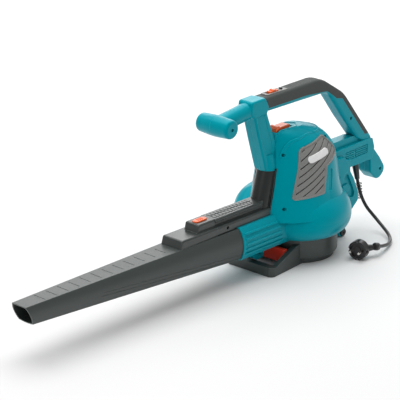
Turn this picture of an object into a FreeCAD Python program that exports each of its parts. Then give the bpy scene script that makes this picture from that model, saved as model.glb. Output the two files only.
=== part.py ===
import FreeCAD, Part
import math
import os
from FreeCAD import Vector

# Corded leaf blower, millimetres. +X is the rear, -X is where the air leaves, -Y is the tool's left,
# +Z is up. The origin is on the floor, on the axis of the fan and its round intake.

os.makedirs("parts", exist_ok=True)

# ---- driving dimensions -------------------------------------------------------------------------
SEAM = 0.3                # gap at the clamshell seam
WALL = 2.6                # moulded wall
ALL = 1200.0              # half size of the cutting boxes

CASE_R = 102.0            # fan casing radius at its tongue
CASE_STEP = 8.0           # growth of the scroll per quarter turn
CASE_LOW = 50.0
CASE_MID = 84.0
CASE_TOP = 113.4
INTAKE_R = 62.0

TUBE_TIP_X = -747.0
TUBE_ROOT_X = -213.0
TUBE_TOP = 112.0
TUBE_WALL = 2.2
SPIGOT = 32.0             # length of the duct pushed into the tube
SPIGOT_GAP = 0.6

RAIL_SEAM_X = -267.0
RAIL_LOW_TOP = 128.0
RAIL_HIGH_TOP = 143.0
RAIL_LOW_HALF = 26.0
RAIL_HIGH_HALF = 18.0
BEAD_R = 4.0              # round edge bead of the rear rail
BEAD_Y = 15.6
BEAD_Z = 138.8

RING_R = 77.0
RING_LIP_R = 70.0
RING_BORE_R = 66.0        # collar that a suction tube is pushed into
RING_BORE_DEPTH = 13.4
RING_STEP_CHAMFER = 0.6
RING_THROAT_R = 73.0      # wider bore above the collar; the grille sits on the step
RING_TOP = 49.6
HINGE_X = 119.0
HINGE_Z = 9.4

GRIP_HALF = 16.0
GRIP_SKIN = 3.2           # soft cover's thickness
BAR_Z = 318.0             # height of the front cross handle
BAR_X = -243.0
BAR_HALF = 40.0
BAR_WALL = 3.0

LATCH_X = -88.5
LATCH_Z = 27.0

BUTTON_X = -290.0
BUTTON_LONG = 33.0
BUTTON_WIDE = 14.5

SHAFT_R = 4.0
RUN_GAP = 0.05            # radial running clearance of the shaft
BEARING_R = 11.0
PLATE_TOP = 117.0
CORD_D = 7.0


# ---- helpers ------------------------------------------------------------------------------------
def at(plane, u, v, w=0.0):
    """Point from two outline coordinates and one depth."""
    if plane == "XZ":
        return Vector(u, w, v)
    if plane == "XY":
        return Vector(u, v, w)
    return Vector(w, u, v)


def outline(corners, plane, depth=0.0):
    """Closed wire through corners (u, v) or (u, v, radius); a radius turns the corner with an arc."""
    marks = []
    count = len(corners)
    for i in range(count):
        here = at(plane, corners[i][0], corners[i][1], depth)
        before = at(plane, corners[i - 1][0], corners[i - 1][1], depth)
        after = at(plane, corners[(i + 1) % count][0], corners[(i + 1) % count][1], depth)
        radius = corners[i][2] if len(corners[i]) > 2 else 0.0
        if radius == 0.0:
            marks.append((here, None, here))
            continue
        back = (before - here).normalize()
        ahead = (after - here).normalize()
        half = back.getAngle(ahead) / 2.0
        reach = radius / math.tan(half)
        centre = here + (back + ahead).normalize() * (radius / math.sin(half))
        middle = centre + (here - centre).normalize() * radius
        marks.append((here + back * reach, middle, here + ahead * reach))
    edges = []
    for i in range(count):
        start, middle, end = marks[i]
        if middle is not None:
            edges.append(Part.Arc(start, middle, end).toShape())
        following = marks[(i + 1) % count][0]
        if end.distanceToPoint(following) > 1e-6:
            edges.append(Part.LineSegment(end, following).toShape())
    return Part.Wire(edges)


def slab(corners, plane, low, high):
    """Outline given thickness from low to high along the plane's normal."""
    face = Part.Face(outline(corners, plane, low))
    travel = at(plane, 0.0, 0.0, high - low)
    return face.extrude(travel)


def box(x0, x1, y0, y1, z0, z1):
    return Part.makeBox(x1 - x0, y1 - y0, z1 - z0, Vector(x0, y0, z0))


def rod(radius, start, end):
    line = end - start
    return Part.makeCylinder(radius, line.Length, start, line)


def disc(radius, z0, z1, x=0.0, y=0.0):
    """Upright cylinder; its seam line is turned away from the middle plane."""
    body = Part.makeCylinder(radius, z1 - z0, Vector(x, y, z0))
    body.rotate(Vector(x, y, z0), Vector(0, 0, 1), 37.0)
    return body


def ring(outer, inner, z0, z1):
    return disc(outer, z0, z1).cut(disc(inner, z0 - 1.0, z1 + 1.0))


def soften(shape, radius, wanted):
    """Round every edge that the test picks out."""
    edges = [edge for edge in shape.Edges if wanted(edge)]
    return shape.makeFillet(radius, edges)


def nose_wire(z, back, nose, half):
    """Plan outline with a straight back and a round nose."""
    far = Vector(back, half, z)
    near = Vector(back, -half, z)
    back_edge = Part.LineSegment(far, near).toShape()
    front_arc = Part.Arc(near, Vector(nose, 0, z), far).toShape()
    return Part.Wire([back_edge, front_arc])


def shrunk(corners, half, inset):
    """Slab on the middle plane, smaller than its outline and half width by the inset."""
    wire = outline(corners, "XZ", inset - half).makeOffset2D(-inset)
    return Part.Face(wire).extrude(Vector(0, 2 * (half - inset), 0))


def on_side(half):
    """Test for the edges around the two side faces of a slab."""
    return lambda edge: abs(abs(edge.CenterOfMass.y) - half) < 0.01


def along(edge, direction):
    """True for a straight edge that runs in the direction."""
    if len(edge.Vertexes) < 2 or edge.Curve.TypeId != "Part::GeomLine":
        return False
    run = (edge.Vertexes[1].Point - edge.Vertexes[0].Point).normalize()
    return abs(run.dot(direction)) > 0.999


def halves(shape):
    """Left and right mouldings, parted on the middle plane."""
    left = shape.common(box(-ALL, ALL, -ALL, -SEAM / 2, -ALL, ALL))
    right = shape.common(box(-ALL, ALL, SEAM / 2, ALL, -ALL, ALL))
    return left, right


def mirrored(shape):
    return shape.mirror(Vector(0, 0, 0), Vector(0, 1, 0))


def save(name, shape):
    solids = shape.Solids
    whole = solids[0] if len(solids) == 1 else Part.makeCompound(solids)
    whole.exportStep("parts/" + name + ".step")
    print(name, len(solids), round(whole.Volume / 1000.0, 1), "cm3")


# ---- air path: scroll, duct and tube ------------------------------------------------------------
def scroll_wire(z, inset):
    """Fan scroll seen from above: four quarter arcs, each larger than the one before."""
    s = CASE_STEP
    centres = [(0.0, 0.0), (0.0, s), (-s, s), (-s, 0.0)]
    edges = []
    for quarter in range(4):
        cx, cy = centres[quarter]
        radius = CASE_R + s * quarter - inset
        points = []
        for share in (0.0, 0.5, 1.0):
            turn = math.radians(180.0 + 90.0 * (quarter + share))
            points.append(Vector(cx + radius * math.cos(turn), cy + radius * math.sin(turn), z))
        edges.append(Part.Arc(*points).toShape())
    last = edges[-1].Vertexes[-1].Point
    first = edges[0].Vertexes[0].Point
    edges.append(Part.LineSegment(last, first).toShape())
    return Part.Wire(edges)


SCROLL_LEVELS = [(0.0, 25.0), (0.07, 13.0), (0.22, 5.0), (0.54, 0.0), (0.76, 4.0), (0.92, 14.0), (1.0, 30.0)]


def scroll_solid(shrink):
    height = CASE_TOP - CASE_LOW - 2 * shrink
    wires = []
    for level, inset in SCROLL_LEVELS:
        wires.append(scroll_wire(CASE_LOW + shrink + height * level, inset + shrink))
    return Part.makeLoft(wires, True, False)


def air_wire(x, top_half, side_half, low_half, z_top, z_mid, z_low, sag, shrink):
    """Section across the air path: flat top, bulging sides, gently rounded floor."""
    t = top_half - shrink
    s = side_half - shrink
    b = low_half - shrink
    top = z_top - shrink
    low = z_low + shrink
    far_top = Vector(x, t, top)
    near_top = Vector(x, -t, top)
    far_low = Vector(x, b, low)
    near_low = Vector(x, -b, low)
    edges = [
        Part.LineSegment(near_top, far_top).toShape(),
        Part.Arc(far_top, Vector(x, s, z_mid), far_low).toShape(),
        Part.Arc(far_low, Vector(x, 0.0, low - sag), near_low).toShape(),
        Part.Arc(near_low, Vector(x, -s, z_mid), near_top).toShape(),
    ]
    return Part.Wire(edges)


TIP_SECTION = (17.5, 22.5, 18.0, TUBE_TOP, 93.0, 77.0, 2.0)
ROOT_SECTION = (30.0, 42.5, 34.0, TUBE_TOP, 84.0, 51.0, 6.5)


def tube_wire(x, shrink):
    share = (x - TUBE_TIP_X) / (TUBE_ROOT_X - TUBE_TIP_X)
    values = [tip + (root - tip) * share for tip, root in zip(TIP_SECTION, ROOT_SECTION)]
    return air_wire(x, *values, shrink)


def duct_wire(x, shrink):
    return air_wire(x, 31.5, 44.5, 36.0, CASE_TOP, 84.0, CASE_LOW - 0.3, 4.5, shrink)


def duct_solid(x0, x1, shrink):
    return Part.makeLoft([duct_wire(x0, shrink), duct_wire(x1, shrink)], True, True)


def duct_ribs():
    """Five long ribs down each side of the duct; each starts a little later than the one above."""
    ribs = None
    for index in range(5):
        z = 102.0 - 10.0 * index
        layer = duct_solid(-206.0, -112.0 + 3.0 * index, -2.2)
        layer = layer.common(box(-ALL, ALL, -ALL, ALL, z - 1.6, z + 1.6))
        ribs = layer if ribs is None else ribs.fuse(layer)
    return ribs


def latch_hook():
    """Lug under the duct that the intake guard closes against."""
    lug = slab([(-152, 60), (-150, 32, 4), (-138, 21.5, 5), (-118, 21.5, 6), (-110, 60)], "XZ", -9.0, 9.0)
    return lug.cut(slab([(-140, 44, 2), (-139, 32, 3), (-124, 30, 3), (-121, 44, 2)], "XZ", -20.0, 20.0))


def fan_casing_outer():
    body = scroll_solid(0.0).fuse(duct_solid(TUBE_ROOT_X + 0.3, -50.0, 0.0))
    return body.fuse(duct_ribs()).removeSplitter()


def fan_casing(outer):
    spigot = Part.makeLoft([tube_wire(TUBE_ROOT_X - SPIGOT, TUBE_WALL + SPIGOT_GAP),
                            tube_wire(TUBE_ROOT_X + 4.0, TUBE_WALL + SPIGOT_GAP)], True, True)
    shell = outer.fuse(spigot)
    passage = Part.makeLoft([tube_wire(TUBE_ROOT_X - SPIGOT - 1.0, 2 * TUBE_WALL + SPIGOT_GAP),
                             duct_wire(TUBE_ROOT_X + 8.0, 2 * TUBE_WALL + SPIGOT_GAP)], True, True)
    inside = scroll_solid(WALL).fuse(duct_solid(TUBE_ROOT_X + 6.0, -55.0, 3.8))
    inside = inside.fuse(duct_solid(-140.0, -55.0, 2.0))
    shell = shell.cut(inside).cut(passage)
    shell = shell.cut(disc(INTAKE_R, 0.0, CASE_MID)).cut(disc(34.0, CASE_MID, CASE_TOP + 20.0))
    shell = shell.fuse(latch_hook().cut(inside).cut(passage))
    for side in (-1, 1):
        y0, y1 = sorted((side * 9.2, side * 15.0))
        ear = slab([(79, 53), (92, 56), (HINGE_X + 9, HINGE_Z + 9, 8), (HINGE_X + 9, 0.3, 8),
                    (HINGE_X - 9, 0.3, 8), (95, 46, 4), (79, 50.2)], "XZ", y0, y1)
        shell = shell.fuse(ear.cut(inside))
    shell = shell.cut(rod(4.05, Vector(HINGE_X, -30, HINGE_Z), Vector(HINGE_X, 30, HINGE_Z)))
    return shell


# ---- motor body ---------------------------------------------------------------------------------
# height, front, half width of the flat front, half width, rear, where the half width is reached
DOME_LEVELS = [
    (98.0, -121.0, 24.0, 93.0, 100.0, 0.0),
    (112.0, -119.0, 24.0, 86.0, 93.0, 0.0),
    (130.0, -115.0, 24.0, 79.0, 86.0, 0.0),
    (150.0, -110.0, 24.0, 75.0, 81.0, 0.0),
    (200.0, -100.0, 24.0, 69.5, 73.0, 0.0),
    (230.0, -95.0, 19.0, 61.0, 62.0, 0.0),
    (250.0, -92.0, 15.0, 47.0, 44.0, -5.0),
    (263.0, -88.0, 11.0, 32.0, 21.0, -18.0),
    (271.5, -78.0, 8.0, 17.0, -7.0, -36.0),
]


def dome_wire(z, front, nose_half, side, rear, widest):
    bulge_x = widest + (front - widest) * 0.62
    bulge_y = nose_half + (side - nose_half) * 0.72
    near = Vector(widest, -side, z)
    far = Vector(widest, side, z)
    return Part.Wire([
        Part.LineSegment(Vector(front, nose_half, z), Vector(front, -nose_half, z)).toShape(),
        Part.Arc(Vector(front, -nose_half, z), Vector(bulge_x, -bulge_y, z), near).toShape(),
        Part.Arc(near, Vector(rear, 0, z), far).toShape(),
        Part.Arc(far, Vector(bulge_x, bulge_y, z), Vector(front, nose_half, z)).toShape(),
    ])


def dome_solid(shrink):
    wires = []
    for z, front, nose_half, side, rear, widest in DOME_LEVELS:
        level = z if z < 200.0 else z - shrink
        nose = nose_half - shrink * 0.6
        wires.append(dome_wire(level, front + shrink, nose, side - shrink, rear - shrink, widest))
    return Part.makeLoft(wires, True, False)


CROWN_BEADS = [
    [(-125, -19), (-50, -40, 20), (10, -40, 30), (44, 0, 30), (10, 40, 30), (-50, 40, 20), (-125, 19)],
    [(-125, -13), (-88, -13), (-30, -17, 10), (-14, 0, 10), (-30, 17, 10), (-88, 13), (-125, 13)],
]


def crown_beads():
    """Two raised lines that run round the crown and open towards the handle post."""
    skin = dome_solid(-1.0).cut(dome_solid(0.8))
    beads = None
    for corners in CROWN_BEADS:
        loop = outline(corners, "XY", 225.0)
        inner = Part.Face(loop.makeOffset2D(-2.4)).extrude(Vector(0, 0, 70))
        bead = skin.common(Part.Face(loop).extrude(Vector(0, 0, 70)).cut(inner))
        beads = bead if beads is None else beads.fuse(bead)
    return beads


def side_slots():
    """Shallow upright slots beside the vent panels."""
    band = dome_solid(-3.0).cut(dome_solid(1.5))
    slot = slab([(5, 188, 3), (14, 186, 3), (7, 143, 3), (-3, 146, 3)], "XZ", -90.0, -40.0)
    slot = band.common(slot)
    return slot.fuse(mirrored(slot))


ARM_TOP = [(60, 205), (150, 206, 8), (190, 196), (190, 150), (60, 150)]
ARM = [(60, 188), (188, 192, 4), (206, 191, 5), (213, 170, 8), (208, 146, 6), (120, 145, 8), (60, 145)]
ARM_HALF = 18.0
WEB = [(60, 172), (129, 165), (129, 140, 10), (141, 122, 14), (156, 88, 12), (157, 72, 10), (137, 56, 8),
       (80, 60)]
WEB_HALF = 24.0
WEB_RECESS = [(106, 130, 4), (122, 136, 4), (144, 92, 8), (141, 80, 5), (126, 85, 6), (100, 101, 4)]
WEB_LOBE = [(66, 175, 4), (108, 175, 8), (119, 160, 6), (119, 143, 6), (107, 138, 4), (105, 120, 6),
            (70, 124, 4)]
WEB_LATCH = [(106, 112, 2), (122, 115, 2), (132, 107, 2), (124, 98, 2), (108, 102, 2)]
HOOK_LOBE = [(188, 174, 4), (206, 180, 4), (217, 164, 6), (236, 142, 12), (257, 112, 16), (230, 91, 16),
             (205, 116, 12), (203, 146, 6), (190, 150, 4)]


def both_sides(corners, low, high):
    """The same slab on the left and on the right of the middle plane."""
    piece = slab(corners, "XZ", low, high)
    return piece.fuse(mirrored(piece))


def rear_arm():
    """Carrier from the motor body to the foot of the handle, with its web and the cord hook's lobe."""
    beam = slab(ARM, "XZ", -ARM_HALF, ARM_HALF).fuse(slab(ARM_TOP, "XZ", -11.0, 11.0))
    side_recess = [(120, 160), (191, 163), (191, 182), (120, 179)]
    beam = beam.cut(both_sides(side_recess, ARM_HALF - 2.0, ARM_HALF + 1.0))
    for row in range(4):
        low = 162.5 + 4.4 * row
        beam = beam.fuse(box(121, 150, 0.4 - ARM_HALF, ARM_HALF - 0.4, low, low + 2.0))
        beam = beam.fuse(box(154, 190, 0.4 - ARM_HALF, ARM_HALF - 0.4, low + 1.6, low + 3.6))
    web = slab(WEB, "XZ", -WEB_HALF, WEB_HALF)
    web = web.cut(both_sides(WEB_RECESS, WEB_HALF - 4.0, WEB_HALF + 1.0))
    web = web.fuse(slab(WEB_LATCH, "XZ", 1.0 - WEB_HALF, WEB_HALF - 1.0))
    web = web.fuse(slab(WEB_LOBE, "XZ", -WEB_HALF - 3.0, WEB_HALF + 3.0))
    lobe = soften(slab(HOOK_LOBE, "XZ", -16.0, 16.0), 3.0, on_side(16.0))
    return beam.fuse(web).fuse(lobe)


def arm_hollow():
    """Space inside the carrier, open towards the motor and below."""
    space = shrunk(ARM, ARM_HALF, 3.0).fuse(box(92, 150, -15, 15, 60, 150).common(shrunk(WEB, WEB_HALF, 5.0)))
    return space.fuse(shrunk(HOOK_LOBE, 16.0, 3.0))


PANEL = [(-85, 140, 5), (-60, 238, 16), (9, 252, 8), (38, 222, 6), (35, 210, 6), (-3, 194, 8), (-14, 143, 5)]


def panel_prism(grow, low, high):
    """Outline of the motor's side vent; grow makes the opening a little larger than the panel."""
    prism = slab(PANEL, "XZ", low, high)
    if grow == 0.0:
        return prism
    wire = outline(PANEL, "XZ", low).makeOffset2D(grow)
    return Part.Face(wire).extrude(Vector(0, high - low, 0))


def vent_panel(outer, deep):
    """Slatted vent with a raised rim; the air for the motor is drawn through its slots."""
    plate = outer.cut(deep).common(panel_prism(0.0, -90.0, -8.0))
    for row in range(11):
        lift = 116.0 + 13.5 * row
        corners = [(-100, lift - 48), (60, lift + 48), (60, lift + 51.4), (-100, lift - 44.6)]
        slot = slab(corners, "XZ", -95.0, -5.0)
        plate = plate.cut(slot.common(panel_inside(5.0)))
    rim = dome_solid(-0.8).cut(deep).common(panel_prism(0.0, -90.0, -8.0)).cut(panel_inside(2.4))
    return plate.fuse(rim)


def panel_inside(border):
    wire = outline(PANEL, "XZ", -95.0).makeOffset2D(-border)
    return Part.Face(wire).extrude(Vector(0, 90.0, 0))


# ---- handle -------------------------------------------------------------------------------------
GRIP = [(-130, 348), (44, 351, 70), (116, 306, 90), (209, 191, 8), (197, 176, 8), (160, 200, 8),
        (112, 256, 40), (64, 318, 22), (-130, 319)]
POST = [(-156, 326), (-121, 326), (-93, 255, 12), (-87, 236, 6), (-93, 199, 5), (-119, 199, 5),
        (-140, 266, 14), (-155, 318)]
POST_HALF = 16.0
POST_PANEL = [(-148, 312, 3), (-127, 318, 3), (-104, 257, 4), (-100, 238, 4), (-109, 216, 2), (-134, 266, 12)]
COLLAR = [(-167, 325, 5), (-164, 348, 6), (-124, 349.5, 12), (-114, 330, 7), (-119, 316, 4), (-158, 314, 5)]
COLLAR_HALF = 18.0
GRIP_CUT = [(-130, 364), (-114.5, 326, 4), (0, 326.5, 40), (62, 321, 25), (90, 300, 6), (108, 296, 4),
            (183, 203.5, 2), (240, 203.5), (160, 330), (80, 380)]


def handle_solid():
    """Post, collar, grip bar and rear leg, before they are shared between the mouldings."""
    bar = soften(slab(GRIP, "XZ", -GRIP_HALF, GRIP_HALF), 7.0, on_side(GRIP_HALF))
    post = soften(slab(POST, "XZ", -POST_HALF, POST_HALF), 3.5, on_side(POST_HALF))
    post = post.cut(both_sides(POST_PANEL, POST_HALF - 1.0, POST_HALF + 1.0))
    collar = soften(slab(COLLAR, "XZ", -COLLAR_HALF, COLLAR_HALF), 4.0, on_side(COLLAR_HALF))
    foot_low = nose_wire(199.0, -92.0, -119.5, 22.0)
    foot_high = nose_wire(231.0, -97.0, -128.5, 15.4)
    foot = Part.makeLoft([foot_low, foot_high], True, True)
    return bar.fuse(post).fuse(collar).fuse(foot)


def grip_grooves():
    """Cross grooves on top of the soft cover."""
    skin = slab(GRIP, "XZ", -11.0, 11.0).cut(shrunk(GRIP, GRIP_HALF, 0.9))
    cuts = Part.makeCompound([box(x, x + 1.5, -11, 11, 327, 360) for x in range(-40, 92, 6)])
    return skin.common(cuts)


def handle_hollow():
    """Space inside the grip bar and leg, the post and the cross handle."""
    space = shrunk(GRIP, GRIP_HALF, GRIP_SKIN + BAR_WALL).common(box(-42, 190, -ALL, ALL, 0, ALL))
    space = space.fuse(shrunk(POST, POST_HALF, BAR_WALL).common(box(-ALL, ALL, -ALL, ALL, 214, 312)))
    return space.fuse(cross_handle(BAR_WALL))


def cross_handle(inset):
    """Stem and barrel-shaped bar in front of the handle loop."""
    stem = rod(17.0 - inset, Vector(-160, 0, 328), Vector(BAR_X, 0, BAR_Z))
    half = BAR_HALF - inset
    end = 18.0 - inset
    profile = [(-half, 0), (-half, end, 6), (0, end + 2.8, 200), (half, end, 6), (half, 0)]
    bar = Part.Face(outline(profile, "YZ")).revolve(Vector(0, 0, 0), Vector(0, 1, 0), 360)
    bar.translate(Vector(BAR_X, 0, BAR_Z))
    return stem.fuse(bar)


SWITCH_POCKET = (-92.0, -48.0, -9.0, 9.0, 323.0, 337.0)
BEZEL_POCKET = (-111.0, -52.0, -9.0, 9.0, 337.0, 360.0)


def switch_bezel():
    """Frame let into the grip, with one window for the switch and one for the lock button."""
    frame = box(*BEZEL_POCKET).common(box(-ALL, ALL, -ALL, ALL, 0.0, 350.2))
    frame = soften(frame, 5.0, lambda edge: along(edge, Vector(0, 0, 1)) and edge.CenterOfMass.x < -100.0)
    frame = frame.cut(box(-104.6, -73.4, -5.6, 5.6, 330.0, 360.0))
    return frame.cut(disc(3.7, 330.0, 360.0, -62.0))


def power_switch():
    """Sliding switch button with a cross ridge for the thumb."""
    button = slab([(-97, 337.4), (-97, 353, 2), (-90, 352), (-88, 354.6, 1.5), (-83, 354.6, 1.5), (-81, 352),
                   (-74, 353, 2), (-74, 337.4)], "XZ", -5.2, 5.2)
    return button


def lock_button():
    return soften(disc(3.4, 339.0, 353.4, -62.0), 1.2, lambda edge: edge.CenterOfMass.z > 353.0)


def switch_block():
    x0, x1, y0, y1, z0, z1 = SWITCH_POCKET
    block = box(x0, x1, y0, y1, z0, z1 - 4.0)
    return block.fuse(box(-90.0, -84.0, -3.0, 3.0, z0, z1 - 1.0))


# ---- outer parts --------------------------------------------------------------------------------
def neck_cover():
    """Cover over the joint of nozzle, casing and post: a broad back strip with a narrower round nose."""
    nose_low = nose_wire(CASE_TOP, -117.0, -143.5, 21.0)
    nose_high = nose_wire(203.0, -98.0, -117.0, 21.0)
    nose = Part.makeLoft([nose_low, nose_high], True, True)
    strips = []
    for z, back in ((CASE_TOP, -116.0), (203.0, -96.5)):
        corners = [(back, -25.5), (back, 25.5), (back - 5.0, 25.5), (back - 5.0, -25.5)]
        strips.append(outline(corners, "XY", z))
    return nose.fuse(Part.makeLoft(strips, True, True))


def rail_shoulders(body, tiers):
    """Round the upper side edges of the given tiers, each a pair of top height and half width."""
    def wanted(edge):
        if not along(edge, Vector(1, 0, 0)):
            return False
        middle = edge.CenterOfMass
        return any(abs(middle.z - top) < 0.01 and abs(abs(middle.y) - half) < 0.01 for top, half in tiers)
    return soften(body, 4.0, wanted)


def front_rail():
    """Rail on the nozzle: two steps with sloping noses, hollow in front of the release button."""
    x0 = -369.0
    x1 = RAIL_SEAM_X
    low = slab([(x0, TUBE_TOP), (x0 + 5, RAIL_LOW_TOP, 5), (x1, RAIL_LOW_TOP), (x1, TUBE_TOP)], "XZ",
               -RAIL_LOW_HALF, RAIL_LOW_HALF)
    high = slab([(x0 + 54, RAIL_LOW_TOP - 1), (x0 + 58, RAIL_HIGH_TOP, 5), (x1, RAIL_HIGH_TOP),
                 (x1, RAIL_LOW_TOP - 1)], "XZ", -RAIL_HIGH_HALF, RAIL_HIGH_HALF)
    body = rail_shoulders(low.fuse(high), ((RAIL_LOW_TOP, RAIL_LOW_HALF), (RAIL_HIGH_TOP, RAIL_HIGH_HALF)))
    return body.cut(box(x0 + 12, BUTTON_X - 22, -22, 22, TUBE_TOP - 1, RAIL_LOW_TOP - 4))


def rear_rail():
    """Rail on the duct: hollow, with a round bead along each upper edge and raised pads for grip."""
    x0 = RAIL_SEAM_X + 0.3
    x1 = -117.0
    body = box(x0, x1, -RAIL_LOW_HALF, RAIL_LOW_HALF, CASE_TOP, RAIL_LOW_TOP)
    body = rail_shoulders(body, ((RAIL_LOW_TOP, RAIL_LOW_HALF),))
    body = body.fuse(box(x0, x1, -BEAD_Y - 0.6, BEAD_Y + 0.6, RAIL_LOW_TOP - 1, RAIL_HIGH_TOP))
    body = body.cut(box(x0 + 3, x1, -22, 22, CASE_TOP - 1, RAIL_LOW_TOP - 4))
    body = body.cut(box(x0 + 3, x1, -BEAD_Y + 3, BEAD_Y - 3, CASE_TOP - 1, RAIL_HIGH_TOP - 3.5))
    for side in (-1, 1):
        start = Vector(x0, side * BEAD_Y, BEAD_Z)
        end = Vector(-138.0, side * BEAD_Y, BEAD_Z)
        body = body.fuse(rod(BEAD_R, start, end)).fuse(Part.makeSphere(BEAD_R, end))
        y0, y1 = sorted((side * 21.5, side * 30.0))
        body = body.cut(rod(3.2, Vector(-239, y0, 120.5), Vector(-239, y1, 120.5)))
        for index in range(13):
            x = -260.0 + 9.0 * index
            y0, y1 = sorted((side * 1.2, side * 11.0))
            body = body.fuse(box(x, x + 6.5, y0, y1, RAIL_HIGH_TOP - 0.5, RAIL_HIGH_TOP + 0.8))
    return body


def tube_solid(shrink, beyond):
    """Tapered nozzle body; beyond lengthens it past both ends."""
    return Part.makeLoft([tube_wire(TUBE_TIP_X - beyond, shrink), tube_wire(TUBE_ROOT_X + beyond, shrink)],
                         True, True)


def blow_tube():
    tube = tube_solid(0.0, 0.0).cut(tube_solid(TUBE_WALL, 20.0))
    beyond = TUBE_TIP_X - 40
    mouth = [(TUBE_TIP_X - 5, 130), (TUBE_TIP_X, TUBE_TOP), (TUBE_TIP_X + 18, 70), (TUBE_TIP_X + 22, 60),
             (beyond, 60), (beyond, 130)]
    mouth_cut = slab(mouth, "XZ", -60.0, 60.0)
    tube = tube.cut(mouth_cut)
    for index in range(12):
        x = -699.0 + 27.4 * index
        tube = tube.cut(box(x, x + 1.4, -14.5, 14.5, TUBE_TOP - 0.8, TUBE_TOP + 1.0))
    below_skin = tube_solid(0.6, 1.0)
    for front_x, front_z, rear_z in ((-578.0, 84.0, 53.8), (-571.0, 89.5, 62.0)):
        groove = [(front_x, front_z), (-219, rear_z), (-219, rear_z + 1.5), (front_x, front_z + 1.3)]
        tube = tube.cut(slab(groove, "XZ", -60, 60).cut(below_skin))
    return tube


def foot_loop(ring_body):
    """Stand in front of the intake ring: a flat loop whose side bars rise to the ring."""
    plan = [(-150, -60, 10), (-40, -50), (-40, 50), (-150, 60, 10)]
    window = [(-134, -47, 5), (-30, -38), (-30, 38), (-134, 47, 5)]
    loop = slab(plan, "XY", 0.0, 50.0).cut(slab(window, "XY", -1.0, 51.0))
    profile = slab([(-152, 0), (-152, 19), (-132, 19), (-66, 42, 10), (-36, 42), (-36, 0)], "XZ", -70.0, 70.0)
    return loop.common(profile).cut(ring_body)


def turned(corners):
    """Solid of revolution about the fan axis; its seam is turned away from the middle plane."""
    body = Part.Face(outline(corners, "XZ")).revolve(Vector(0, 0, 0), Vector(0, 0, 1), 360)
    body.rotate(Vector(0, 0, 0), Vector(0, 0, 1), 37.0)
    return body


RING_OUTSIDE = [(RING_LIP_R, 0), (RING_LIP_R, 10.5), (RING_R - 1, 10.5), (RING_R, 12), (RING_R, RING_TOP)]


def ring_core():
    """The ring's outer shape filled in, to trim what stands against it."""
    return turned([(0, -1), (RING_LIP_R, -1)] + RING_OUTSIDE[1:] + [(0, RING_TOP)])


def intake_ring():
    """Round collar under the fan casing, with a lip to stand on and a tab for its hinge."""
    step_z = RING_BORE_DEPTH + RING_STEP_CHAMFER
    inside = [(RING_THROAT_R, RING_TOP), (RING_THROAT_R, step_z), (RING_BORE_R + RING_STEP_CHAMFER, step_z),
              (RING_BORE_R, RING_BORE_DEPTH)]
    body = turned([(RING_BORE_R, 0)] + RING_OUTSIDE + inside)
    tab = slab([(68, 13), (104, 13), (HINGE_X, HINGE_Z + 9, 7), (HINGE_X + 8.4, HINGE_Z + 2, 6),
                (HINGE_X + 7, 1.4, 6), (104, 3), (68, 3)], "XZ", -8.8, 8.8)
    body = body.fuse(tab).cut(duct_solid(-95.0, -50.0, -0.4))
    return body.cut(rod(4.05, Vector(HINGE_X, -30, HINGE_Z), Vector(HINGE_X, 30, HINGE_Z)))


def intake_grille():
    """Finger guard across the intake: rings and spokes on a rim that sits on the collar's step."""
    z0 = RING_BORE_DEPTH + RING_STEP_CHAMFER
    body = ring(RING_THROAT_R - 0.2, RING_BORE_R - 5.0, z0, z0 + 4.5)
    for radius in (14.0, 27.0, 40.0, 53.0):
        body = body.fuse(ring(radius + 1.2, radius - 1.2, z0 + 1.2, z0 + 4.0))
    for index in range(8):
        spoke = box(13.5, RING_BORE_R + 1.0, -1.2, 1.2, z0 + 1.2, z0 + 4.0)
        spoke.rotate(Vector(0, 0, 0), Vector(0, 0, 1), 45.0 * index)
        body = body.fuse(spoke)
    return body.removeSplitter()


def latch_lever():
    """Red release across the front of the intake ring, hung on a pin between the loop's side bars."""
    plate = slab([(-92.6, 9, 2), (-87.4, 9, 2), (-84.4, 22, 3), (-84.4, 38, 2), (-92.6, 38, 2)], "XZ",
                 -41.6, 41.6)
    return plate.cut(rod(2.06, Vector(LATCH_X, -50, LATCH_Z), Vector(LATCH_X, 50, LATCH_Z)))


def latch_pin():
    return rod(2.0, Vector(LATCH_X, -49, LATCH_Z), Vector(LATCH_X, 49, LATCH_Z))


def guard_pin():
    """Hinge bolt of the intake guard, with a collar head at each end."""
    pin = rod(4.0, Vector(HINGE_X, -15.1, HINGE_Z), Vector(HINGE_X, 15.1, HINGE_Z))
    for side in (-1, 1):
        head = rod(7.4, Vector(HINGE_X, side * 15.0, HINGE_Z), Vector(HINGE_X, side * 19.0, HINGE_Z))
        pin = pin.fuse(head)
    return pin.cut(rod(2.2, Vector(HINGE_X, -19.5, HINGE_Z), Vector(HINGE_X, -16.0, HINGE_Z)))


def release_well(grow):
    """Stadium outline of the release button, grown by the running gap for its hole."""
    long_half = BUTTON_LONG / 2 - BUTTON_WIDE / 2
    radius = BUTTON_WIDE / 2 + grow
    z0, z1 = 131.0, 160.0
    ends = [disc(radius, z0, z1, BUTTON_X - long_half), disc(radius, z0, z1, BUTTON_X + long_half)]
    middle = box(BUTTON_X - long_half, BUTTON_X + long_half, -radius, radius, z0, z1)
    return ends[0].fuse(ends[1]).fuse(middle)


def release_button():
    button = release_well(0.0).common(box(-ALL, ALL, -ALL, ALL, 136.0, 145.5)).removeSplitter()
    button = soften(button, 1.6, lambda edge: edge.CenterOfMass.z > 145.4)
    return button.cut(disc(5.4, 130.0, 143.0, BUTTON_X))


def button_spring():
    coil = Part.makeHelix(2.4, 10.8, 4.2)
    section = Part.Wire(Part.Circle(Vector(4.2, 0, 0), Vector(0, 1, 0), 0.45).toShape())
    wire = Part.Wire(coil.Edges).makePipeShell([section], True, True)
    wire.translate(Vector(BUTTON_X, 0, 131.5))
    return wire


SLIDER_WELL = (-85.0, -35.0, -10.0, 10.0, 268.0, 300.0)


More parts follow.
